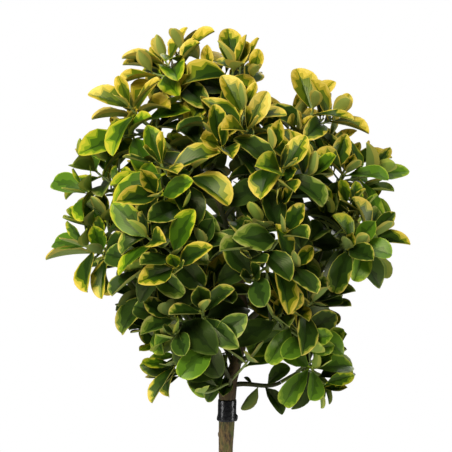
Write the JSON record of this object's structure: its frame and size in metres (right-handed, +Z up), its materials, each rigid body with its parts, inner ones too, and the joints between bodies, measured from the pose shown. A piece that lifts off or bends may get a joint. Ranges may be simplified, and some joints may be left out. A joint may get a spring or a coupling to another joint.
{
  "type": "gold variegated evergreen spindle standard",
  "caption": "Small grafted evergreen shrub with a clear stem, ascending boughs and a dense rounded head of gold-edged leaves in opposite pairs.",
  "frame": {"origin": "middle of the flat cut under the stem, at ground level", "axes": "+Z up along the stem, +X to the right of the head and -Y to its front as the picture shows it"},
  "size_m": [0.4057, 0.3667, 0.9166],
  "materials": {
    "bark": "matt brown bark with fine upright fissures",
    "young_bark": "satin olive green young bark",
    "graft_tape": "glossy black stretched tape",
    "foliage_gold": "glossy leaves with broad gold edges and dark green hearts",
    "foliage_lime": "glossy leaves with lime green hearts and yellow edges",
    "foliage_green": "glossy deep green leaves with thin pale edges"
  },
  "bodies": {
    "root": {"bough_high_1": "young_bark", "bough_high_2": "young_bark", "bough_high_3": "young_bark", "bough_high_4": "young_bark", "bough_high_5": "young_bark", "bough_high_6": "young_bark", "bough_low_1": "young_bark", "bough_low_2": "young_bark", "bough_low_3": "young_bark", "bough_low_4": "young_bark", "bough_low_5": "young_bark", "bough_middle_1": "young_bark", "bough_middle_2": "young_bark", "bough_middle_3": "young_bark", "bough_middle_4": "young_bark", "bough_middle_5": "young_bark", "bough_middle_6": "young_bark", "bough_middle_7": "young_bark", "bough_shoulder_1": "young_bark", "bough_shoulder_2": "young_bark", "bough_shoulder_3": "young_bark", "bough_shoulder_4": "young_bark", "bough_skirt_1": "young_bark", "bough_tuft_left": "young_bark", "bough_tuft_right": "young_bark", "bough_tuft_top": "young_bark", "foliage_high_1": "foliage_gold", "foliage_high_2": "foliage_gold", "foliage_high_3": "foliage_gold", "foliage_high_4": "foliage_gold", "foliage_high_5": "foliage_gold", "foliage_high_6": "foliage_gold", "foliage_low_1": "foliage_green", "foliage_low_2": "foliage_green", "foliage_low_3": "foliage_green", "foliage_low_4": "foliage_green", "foliage_low_5": "foliage_green", "foliage_middle_1": "foliage_lime", "foliage_middle_2": "foliage_lime", "foliage_middle_3": "foliage_lime", "foliage_middle_4": "foliage_lime", "foliage_middle_5": "foliage_lime", "foliage_middle_6": "foliage_lime", "foliage_middle_7": "foliage_lime", "foliage_shoulder_1": "foliage_gold", "foliage_shoulder_2": "foliage_gold", "foliage_shoulder_3": "foliage_gold", "foliage_shoulder_4": "foliage_gold", "foliage_skirt_1": "foliage_green", "foliage_skirt_2": "foliage_green", "foliage_skirt_3": "foliage_green", "foliage_skirt_4": "foliage_green", "foliage_tuft_left": "foliage_gold", "foliage_tuft_right": "foliage_gold", "foliage_tuft_top": "foliage_gold", "graft_tape": "graft_tape", "trunk": "bark"}
  },
  "joints": []
}
